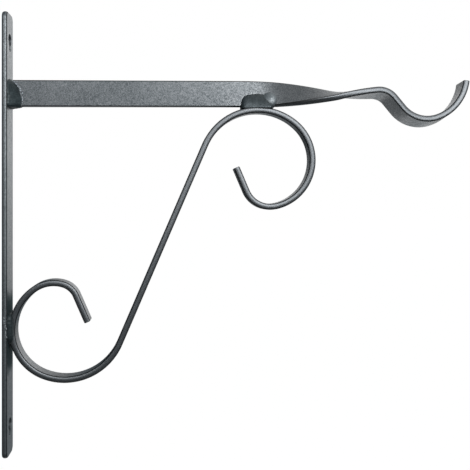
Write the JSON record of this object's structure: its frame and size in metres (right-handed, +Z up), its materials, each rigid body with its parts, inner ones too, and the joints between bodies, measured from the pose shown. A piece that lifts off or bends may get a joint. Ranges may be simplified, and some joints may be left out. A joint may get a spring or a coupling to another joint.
{
  "type": "wall bracket",
  "caption": "Wall bracket of flat bar: a back plate with keyholes, an arm that twists into an open hook, and a scroll brace under it.",
  "frame": {"origin": "centre of the back plate's wall face", "axes": "+X away from the wall, along the arm; +Z up, along the back plate; +Y across the plate, in the wall's plane"},
  "size_m": [0.368, 0.0202, 0.34],
  "materials": {
    "hammered_graphite_paint": "dark graphite grey hammered enamel, semi-gloss, with a fine metallic vein",
    "painted_weld": "the same enamel over a rippled weld bead, a little darker and duller"
  },
  "bodies": {
    "root": {"back_plate": "hammered_graphite_paint", "hook_arm": "hammered_graphite_paint", "scroll_brace": "hammered_graphite_paint", "arm_to_plate_weld_front": "painted_weld", "arm_to_plate_weld_back": "painted_weld", "brace_to_arm_weld_front": "painted_weld", "brace_to_arm_weld_back": "painted_weld", "brace_to_plate_weld_front": "painted_weld", "brace_to_plate_weld_back": "painted_weld"}
  },
  "joints": []
}
